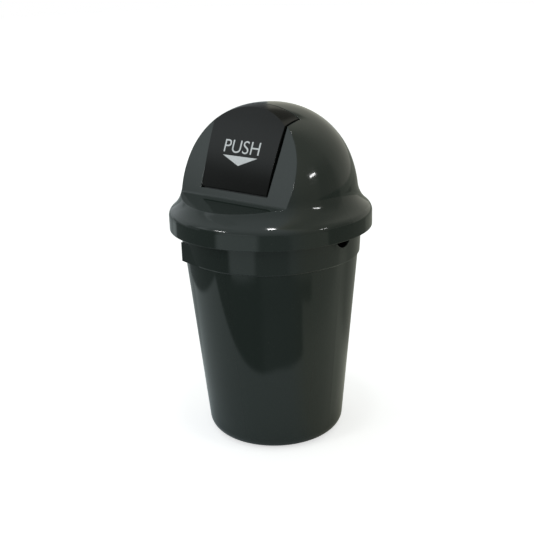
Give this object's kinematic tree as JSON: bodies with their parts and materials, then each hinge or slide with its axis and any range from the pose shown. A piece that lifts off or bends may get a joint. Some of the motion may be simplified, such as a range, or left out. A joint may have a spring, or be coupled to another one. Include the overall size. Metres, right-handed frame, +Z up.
{
  "type": "push top countertop bin",
  "caption": "Round tapered countertop waste bin with a lift-off dome lid, a flat slanted front and a sprung push flap.",
  "frame": {"origin": "on the floor plane, under the centre of the round bin", "axes": "+Z up, -Y towards the flap side, +X to the right of someone who faces the flap"},
  "size_m": [0.2, 0.2, 0.3346],
  "materials": {
    "shell": "gloss",
    "flap": "matte",
    "steel": "bright drawn wire"
  },
  "bodies": {
    "bin": {"bin_base": "shell", "bin_wall": "shell", "bin_band": "shell"},
    "lid": {"dome_lid": "shell", "hinge_pin_left": "steel", "hinge_pin_right": "steel", "return_spring_left": "steel", "return_spring_right": "steel"},
    "flap": {"push_flap": "flap"}
  },
  "joints": [
    {"name": "lid_lift", "type": "slide", "parent": "bin", "child": "lid", "axis": [0, 0, 1], "range_m": [0, 0.08]},
    {"name": "flap_swing", "type": "hinge", "parent": "lid", "child": "flap", "pos_m": [0, -0.012, 0.312], "axis": [1, 0, 0], "range_deg": [0, 60], "stiffness_Nm_per_rad": 0.012, "springref_deg": -57.3, "deforming": ["return_spring_left", "return_spring_right"]}
  ]
}
